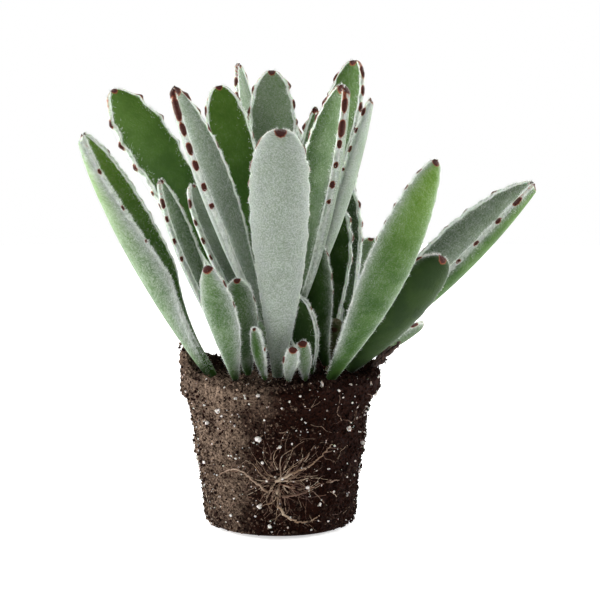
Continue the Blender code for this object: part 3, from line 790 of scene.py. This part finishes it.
def make_root_ball(material):
    outline = ball_outline()
    points = []
    dry = []
    for index, (radius, height) in enumerate(outline):
        before = outline[max(0, index - 1)]
        after = outline[min(len(outline) - 1, index + 1)]
        slope = Vector((after[0] - before[0], after[1] - before[1]))
        out = Vector((-slope.y, slope.x)).normalized()
        foot = smoothstep(0.0, 3.0, height)
        for turn in range(BALL_TURNS):
            angle = TURN * turn / BALL_TURNS
            lift = 0.0
            if radius > CRATER_RADIUS and height > STEP_HEIGHT + 2:
                share = smoothstep(CRATER_RADIUS, CRATER_RADIUS + 1.5, radius)
                lift = rim_lift(angle) * share * smoothstep(STEP_HEIGHT + 1, RIM_HEIGHT, height)
            place = Vector(polar(radius, angle, height + lift))
            shift = crumbs_at(place) * foot
            shift -= PIT_DEPTH * math.exp(-((place - PIT_PLACE).length / PIT_RADIUS) ** 2)
            ring = radius + out.x * shift
            points.append(polar(ring, angle, max(0.0, height + lift + out.y * shift)))
            # painted light: pale on the side the left lamps light, darker on the far side, and a little
            # paler higher up
            upper = smoothstep(8.0, 36.0, height)
            dry.append(0.85 * float(lit_side(angle)) - 0.42 + 0.12 * float(upper))
    faces = grid_faces(len(outline), BALL_TURNS, turned=True)
    piece = add_mesh("compost", points, faces, material)
    set_number(piece, "dry", dry)
    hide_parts("root_ball")


def on_ball(degrees, height, stand_off):
    """A point on the ball's side, standing off its crumbs by a distance."""
    angle = math.radians(degrees)
    radius = side_radius(height)
    place = Vector(polar(radius, angle, height))
    radius += lumps_at(place) + stand_off
    return np.array(polar(radius, angle, height))


GRAIN_CUTS = 1
GRAIN_ROUGHNESS = 0.28        # how far a grain's corners stand in or out, of its radius


def grain_shape():
    """Points and faces of a unit ball of 20 faces, from Blender's own icosphere."""
    shape = bmesh.new()
    bmesh.ops.create_icosphere(shape, subdivisions=GRAIN_CUTS, radius=1.0)
    points = np.array([v.co[:] for v in shape.verts])
    faces = np.array([[v.index for v in f.verts] for f in shape.faces])
    shape.free()
    return points, faces


def scatter_grains(name, places, sizes, material):
    """Many small irregular grains in one mesh."""
    shape, faces = grain_shape()
    count = len(places)
    stretch = rng.uniform(0.7, 1.3, (count, 1, 3))
    knobbly = 1 + rng.uniform(-GRAIN_ROUGHNESS, GRAIN_ROUGHNESS, (count, len(shape), 1))
    axis = unit(rng.normal(size=(count, 3)))
    angle = rng.uniform(0, TURN, count)
    cos, sin = np.cos(angle)[:, None, None], np.sin(angle)[:, None, None]
    local = shape[None] * stretch * knobbly * np.asarray(sizes)[:, None, None]
    k = axis[:, None, :]
    turned = (local * cos + np.cross(np.broadcast_to(k, local.shape), local) * sin
              + k * np.sum(k * local, axis=2, keepdims=True) * (1 - cos))
    points = (turned + np.asarray(places)[:, None, :]).reshape(-1, 3)
    points[:, 2] = np.maximum(points[:, 2], 0.0)
    all_faces = (faces[None] + (np.arange(count) * len(shape))[:, None, None]).reshape(-1, 3)
    piece = add_mesh(name, points, all_faces.tolist(), material, smooth=False)
    return piece


def random_side_places(count, stand_off, low=1.2, high=46.0):
    places = []
    for _ in range(count):
        degrees = rng.uniform(0, 360)
        height = rng.uniform(low, high)
        places.append(on_ball(degrees, height, rng.normal(*stand_off)))
    return places


def random_top_places(count):
    """Places over the crater and along the broken rim."""
    places = []
    for _ in range(count):
        angle = rng.uniform(0, TURN)
        radius = math.sqrt(rng.uniform(0.02, 1.0)) * BALL_RIM_RADIUS
        lift = 0.0
        height = CRATER_HEIGHT + 0.2
        if radius > CRATER_RADIUS:
            share = (radius - CRATER_RADIUS) / (BALL_RIM_RADIUS - CRATER_RADIUS)
            height += (RIM_HEIGHT - CRATER_HEIGHT) * math.sin(math.pi * share * 0.85)
            lift = rim_lift(angle) * smoothstep(0, 0.35, share)
        places.append(np.array(polar(radius, angle, height + lift + rng.normal(0, 0.25))))
    return places


# the mean and the spread, in mm, of how far crumbs and perlite stand off the ball
CRUMB_STAND_OFF = (0.05, 0.22)
PERLITE_STAND_OFF = (0.3, 0.12)


def scatter_crumbs(material):
    """Crumbs over the ball's lower side, its upper side and its top."""
    low = random_side_places(7500, CRUMB_STAND_OFF, 0.9, 25.0)
    high = random_side_places(6000, CRUMB_STAND_OFF, 25.0, 46.0)
    top = random_top_places(3200)
    for part, places in (("low", low), ("high", high), ("top", top)):
        sizes = np.clip(rng.lognormal(-1.45, 0.4, len(places)), 0.12, 0.5)
        crumbs = scatter_grains("compost_crumbs_" + part, places, sizes, material)
        where = np.array(places)
        # crumbs are pale at random, and more so on the side painted as lit from the left
        lit_share = lit_side(np.arctan2(where[:, 1], where[:, 0]))
        tone = rng.uniform(-0.3, 0.75, len(places)) * (0.3 + lit_share) + 0.12 * lit_share
        set_number(crumbs, "dry", np.repeat(tone, len(crumbs.data.vertices) // len(places)))


def scatter_perlite(material):
    """Small grains all over, and one in place of each grain that the CAD part has."""
    places = random_side_places(620, PERLITE_STAND_OFF) + random_top_places(60)
    sizes = np.minimum(0.75, rng.lognormal(-1.5, 0.5, len(places)))
    scatter_grains("perlite_specks", places, sizes, material)
    for node, (degrees, height, size) in GRAINS.items():
        place = on_ball(degrees, height, 0.5)
        grain = scatter_grains(node + "_skin", [place], [size * 0.36], material)
        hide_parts(node)


# ---- roots --------------------------------------------------------------------------------------
def tube(path, radii, sides=6):
    """Points and faces of a closed, tapering tube along a path."""
    path = np.asarray(path, float)
    along = unit(np.gradient(path, axis=0))
    helper = np.array([0.0, 0.0, 1.0]) if abs(along[0][2]) < 0.8 else np.array([1.0, 0.0, 0.0])
    first = unit(np.cross(along, helper))
    second = np.cross(along, first)
    turn = np.linspace(0, TURN, sides, endpoint=False)
    ring = (first[:, None, :] * np.cos(turn)[None, :, None]
            + second[:, None, :] * np.sin(turn)[None, :, None])
    points = (path[:, None, :] + ring * np.asarray(radii)[:, None, None]).reshape(-1, 3)
    return points, grid_faces(len(path), sides)


def join_tubes(name, tubes, material):
    """One piece from many tubes, each with a paleness of its own."""
    points = []
    faces = []
    pale = []
    start = 0
    for tube_points, tube_faces in tubes:
        points.append(tube_points)
        faces += [tuple(i + start for i in face) for face in tube_faces]
        pale.append(np.full(len(tube_points), rng.uniform(0.0, 1.0) ** 2.2))
        start += len(tube_points)
    piece = add_mesh(name, np.concatenate(points), faces, material)
    set_number(piece, "pale", np.concatenate(pale))
    return piece


def smooth_path(path, count):
    """Points of a smooth curve through (bearing, height) points."""
    last = len(path) - 1
    made = []
    for step in range(count):
        at = min(step / (count - 1) * last, last - 1e-6)
        left = int(at)
        part = at - left
        p0, p1, p2, p3 = (np.array(path[i], float) for i in
                          (max(0, left - 1), left, left + 1, min(last, left + 2)))
        made.append(0.5 * (2 * p1 + (p2 - p0) * part + (2 * p0 - 5 * p1 + 4 * p2 - p3) * part**2
                           + (3 * p1 - p0 - 3 * p2 + p3) * part**3))
    return made


def main_root(root, material):
    """A thick root with side rootlets."""
    count = 40
    places = [on_ball(d + rng.normal(0, 0.5), h + rng.normal(0, 0.12), 0.35)
              for d, h in smooth_path(root.path, count)]
    radii = np.linspace(0.42, 0.14, count) * rng.uniform(0.85, 1.15, count)
    tubes = [tube(places, radii)]
    for _ in range(7):
        start = rng.integers(4, count - 6)
        degrees, height = smooth_path(root.path, count)[start]
        tubes.append(fine_root(degrees, height, rng.uniform(0, TURN), rng.uniform(2.5, 7.0),
                               rng.uniform(0.07, 0.15)))
    piece = join_tubes(root.name + "_skin", tubes, material)
    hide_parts(root.name)


def fine_root(degrees, height, heading, length, radius, wander=0.22):
    """A thin root that wanders over the side of the ball."""
    step = 0.45
    places = []
    for _ in range(max(5, int(length / step))):
        places.append(on_ball(degrees, height, rng.normal(0.22, 0.09)))
        heading += rng.normal(0, wander)
        degrees += math.degrees(math.cos(heading) * step / side_radius(height))
        height = min(45.5, max(0.8, height + math.sin(heading) * step))
    radii = radius * np.linspace(1.0, 0.45, len(places))
    return tube(places, radii, 5)


def tangle(name, material):
    """The knot of roots at the front of the ball, and the net of fine ones all round it."""
    tubes = []
    for _ in range(70):
        heading = rng.uniform(0, TURN)
        out = rng.uniform(1.2, 4.5)
        tubes.append(fine_root(270 + 2.3 * out * math.cos(heading), 17 + out * math.sin(heading),
                               heading, rng.uniform(3, 12), rng.uniform(0.06, 0.19), 0.15))
    # long ones run from the knot to the right, and others up from it
    for _ in range(16):
        tubes.append(fine_root(272 + rng.normal(0, 5), 17 + rng.normal(0, 2.0), rng.uniform(-0.4, 1.5),
                               rng.uniform(11, 20), rng.uniform(0.10, 0.2), 0.09))
    for _ in range(120):
        tubes.append(fine_root(rng.uniform(0, 360), rng.uniform(3, 44), rng.uniform(0, TURN),
                               rng.uniform(3, 11), rng.uniform(0.05, 0.13)))
    join_tubes(name, tubes, material)


# ---- stems and the piece of bark ----------------------------------------------------------------
def make_stem(stem, material):
    """A lumpy stem, ringed by the scars of fallen leaves."""
    rows, columns = 80, 28
    foot = np.array([*stem.foot, CRATER_HEIGHT])
    top = np.array(stem.top)
    share = np.linspace(0, 1, rows)[:, None]
    turn = np.linspace(0, TURN, columns, endpoint=False)[None, :]
    height = share * (top[2] - foot[2])
    scar = np.zeros((rows, columns))
    for step in range(int(height[-1, 0] / 2.6)):
        at = 2.0 + 2.6 * step
        facing = 2.4 * step + stem.radius * 9
        away = np.abs((turn - facing + math.pi) % TURN - math.pi)
        reach = np.sqrt(((height - at) / 0.8) ** 2 + (away / 0.8) ** 2)
        scar = np.maximum(scar, smoothstep(1.3, 0.6, reach))
    lumps = np.array([[noise.noise(Vector((3 * math.cos(a), 3 * math.sin(a), h * 0.8 + stem.radius)))
                       for a in turn[0]] for h in height[:, 0]])
    round_top = np.sqrt(np.clip((1 - share) / 0.06, 0.02, 1.0))
    flare = 1 + 0.12 * np.exp(-height / 1.2)
    radius = stem.radius * blend(1.0, STEM_TAPER, share) * round_top * flare
    radius = radius * (0.95 + 0.10 * lumps) + 0.16 * scar
    middle = foot + (top - foot) * share
    points = middle[:, None, :] + np.stack(
        [radius * np.cos(turn), radius * np.sin(turn), np.zeros_like(radius)], axis=2)
    piece = add_mesh(stem.name + "_skin", points.reshape(-1, 3), grid_faces(rows, columns), material)
    set_number(piece, "scar", scar)
    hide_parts(stem.name)


SHARDS = [
    ((27.0, -6.0, 47.2), (34.9, -5.0, 54.0), 0.85),
    ((27.4, -6.6, 48.4), (31.8, -5.2, 53.2), 0.60),
    ((26.6, -6.6, 47.4), (31.0, -5.8, 49.0), 0.70),
]


def make_bark(material):
    """A ragged piece of bark with broken shards and fibres on it."""
    tubes = []
    for low, high, radius in SHARDS:
        share = np.linspace(0, 1, 16)[:, None]
        path = np.array(low) + (np.array(high) - np.array(low)) * share
        path = path + rng.normal(0, 0.12, path.shape)
        radii = radius * np.sin(math.pi * np.linspace(0.16, 0.93, 16)) ** 0.7
        points, faces = tube(path, radii, 10)
        ragged = []
        for corner in points:
            splinter = np.array(noise.noise_vector(Vector(corner) / 1.3))
            ragged.append(corner + rng.normal(0, 0.07, 3) + 0.22 * splinter)
        tubes.append((np.array(ragged), faces))
    for _ in range(26):
        low, high, radius = SHARDS[rng.integers(len(SHARDS))]
        start = blend(np.array(low), np.array(high), rng.uniform(0.1, 1.0))
        heading = unit(rng.normal(size=3))
        path = start + heading * np.linspace(radius * 0.5, radius + rng.uniform(0.4, 1.5), 5)[:, None]
        tubes.append(tube(path + rng.normal(0, 0.06, path.shape), np.linspace(0.16, 0.05, 5), 5))
    piece = join_tubes("bark_chip_skin", tubes, material)
    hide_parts("bark_chip")


# ---- the stage ----------------------------------------------------------------------------------
CAMERA_DISTANCE = 0.75
CAMERA_RISE = 8.0             # degrees
FRAME_WIDTH = 0.174           # seen at the plant's axis
SENSOR = 36.0
LIT_POINT = Vector((0.0, 0.0, 0.08))
ROOM_LIGHT = 0.15
FLOOR_RADIUS = 0.7


def point(thing, place, direction):
    """Put a camera or a light at a place, looking along a direction."""
    thing.location = place
    thing.rotation_mode = "QUATERNION"
    thing.rotation_quaternion = direction.to_track_quat("-Z", "Y")


def make_camera():
    aim = Vector((0.0059, 0.0, 0.0656))
    rise = math.radians(CAMERA_RISE)
    looking = Vector((0.0, math.cos(rise), -math.sin(rise)))
    data = bpy.data.cameras.new("camera")
    data.sensor_width = SENSOR
    data.lens = SENSOR * CAMERA_DISTANCE / FRAME_WIDTH
    data.clip_start = 0.01
    camera = add_object("camera", data)
    point(camera, aim - looking * CAMERA_DISTANCE, looking)
    bpy.context.scene.camera = camera


def area_light(name, place, size, watts):
    data = bpy.data.lights.new(name, "AREA")
    data.shape = "RECTANGLE"
    data.size, data.size_y = size
    data.energy = watts
    point(add_object(name, data), place, LIT_POINT - Vector(place))


def make_stage(material):
    mesh = bpy.data.meshes.new("floor")
    turns = 96
    edge = [polar(FLOOR_RADIUS, TURN * k / turns, 0) for k in range(turns)]
    mesh.from_pydata(edge, [], [tuple(range(turns))])
    mesh.materials.append(material)
    floor = add_object("floor", mesh)
    floor.location.z = -0.0002

    world = bpy.data.worlds.new("pale_room")
    world.use_nodes = True
    nodes, links = world.node_tree.nodes, world.node_tree.links
    room = nodes["Background"]
    room.inputs["Color"].default_value = (1.0, 1.0, 1.0, 1.0)
    room.inputs["Strength"].default_value = ROOM_LIGHT
    backdrop = nodes.new("ShaderNodeBackground")
    seen = nodes.new("ShaderNodeLightPath")
    either = nodes.new("ShaderNodeMixShader")
    links.new(seen.outputs["Is Camera Ray"], either.inputs["Fac"])
    links.new(room.outputs["Background"], either.inputs[1])
    links.new(backdrop.outputs["Background"], either.inputs[2])
    backdrop.inputs["Color"].default_value = (1.0, 1.0, 1.0, 1.0)
    links.new(either.outputs["Shader"], nodes["World Output"].inputs["Surface"])
    bpy.context.scene.world = world
    bpy.context.scene.view_settings.view_transform = "Standard"
    area_light("left_rim", (-0.66, 0.18, 0.26), (0.3, 0.6), 10.0)
    area_light("right_rim", (0.66, 0.18, 0.26), (0.3, 0.6), 8.0)
    area_light("front_left", (-0.6, -0.6, 0.35), (0.4, 0.4), 2.5)
    area_light("top_back", (0.0, 0.2, 0.75), (0.6, 0.3), 4.0)


# ---- the whole ----------------------------------------------------------------------------------
def main():
    make_camera()
    leaf_skin = leaf_material()
    hair = hair_material()
    compost = compost_material()
    perlite = perlite_material()
    root_skin = root_material()
    stem_skin = stem_material()

    groups = {}
    for seed, leaf in enumerate(LEAVES, start=1):
        data = make_leaf(leaf, leaf_skin, seed)
        shoot = leaf.name.split("_")[0]
        groups.setdefault(shoot, []).append(hairs_for(data, seed))
    for shoot, hairs in groups.items():
        make_hair(shoot + "_leaf_hairs", hairs, hair)

    make_root_ball(compost)
    scatter_crumbs(compost)
    scatter_perlite(perlite)
    for root in ROOTS:
        main_root(root, root_skin)
    tangle("fine_roots", root_skin)
    for stem in STEMS:
        make_stem(stem, stem_skin)
    make_bark(bark_material())
    make_stage(floor_material())


main()
